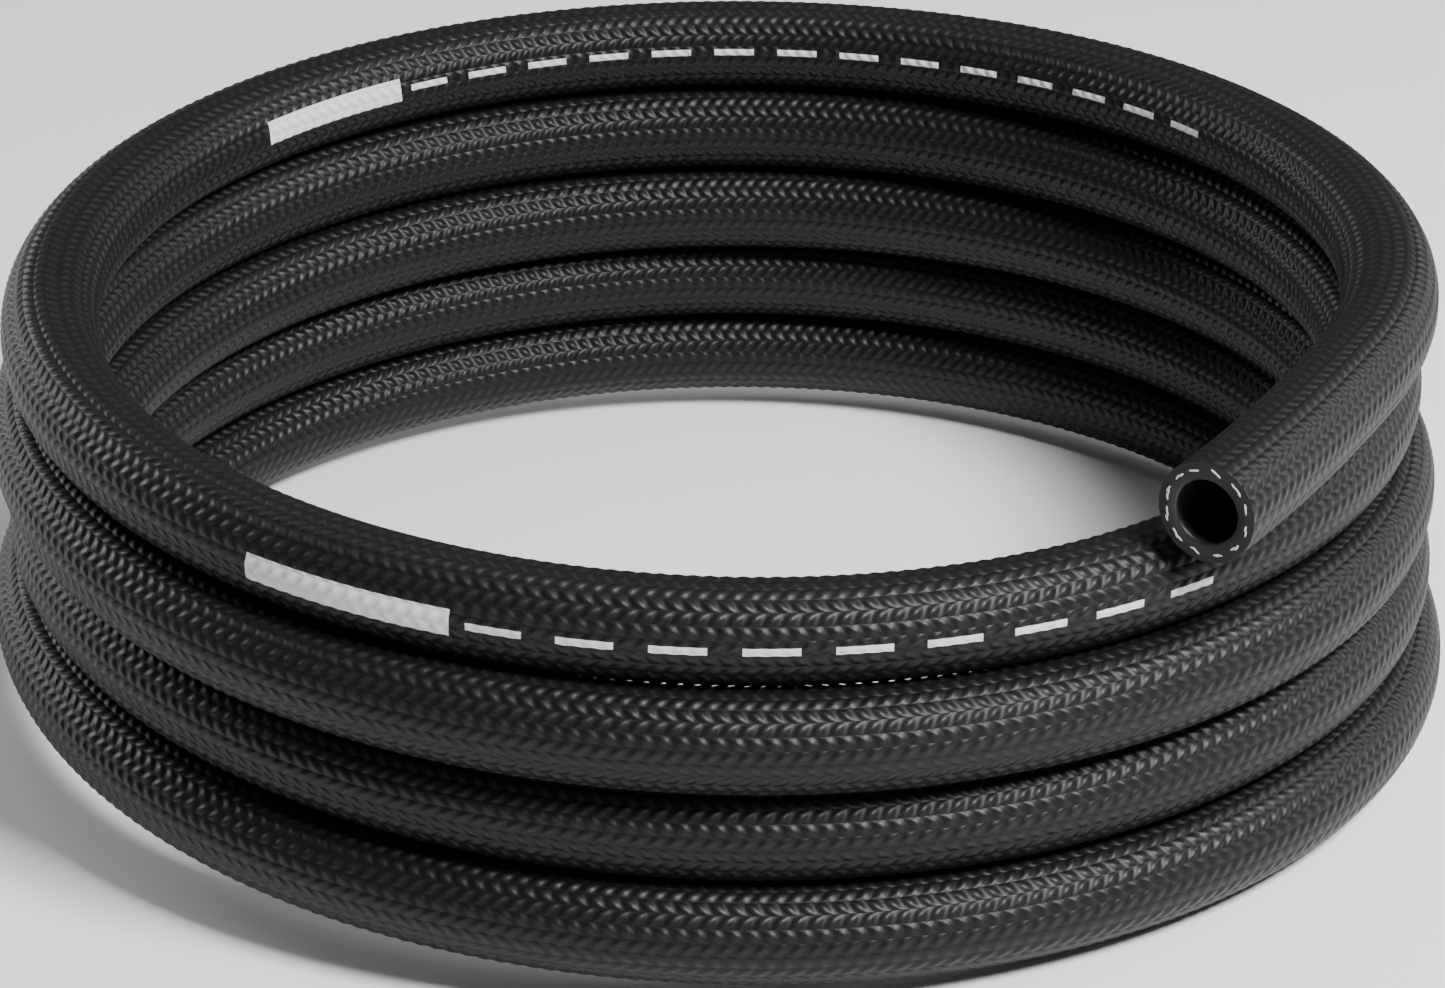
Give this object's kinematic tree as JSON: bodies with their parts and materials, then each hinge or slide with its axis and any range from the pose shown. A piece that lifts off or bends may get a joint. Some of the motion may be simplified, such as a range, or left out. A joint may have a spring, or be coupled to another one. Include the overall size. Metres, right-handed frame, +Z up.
{
  "type": "fuel hose",
  "caption": "Length of 3/8 inch bore rubber fuel hose with a braid-marked cover, lying in a loose free-standing coil with both ends cut square.",
  "frame": {"origin": "on the floor under the middle of the coil, at the bounding box's bottom centre", "axes": "+Z up along the coil's axis; the side seen in the picture is toward -Y and the free upper end is toward +X and -Y"},
  "size_m": [0.2296, 0.2298, 0.0763],
  "materials": {
    "cover_rubber": "semi-matte black rubber with the small raised bumps of the braid under it",
    "braid_yarn": "off-white yarn, cut through at the ends",
    "tube_rubber": "dark grey rubber, matte where it is cut"
  },
  "bodies": {
    "root": {"cover": "cover_rubber", "reinforcement_braid": "braid_yarn", "inner_tube": "tube_rubber"}
  },
  "joints": []
}
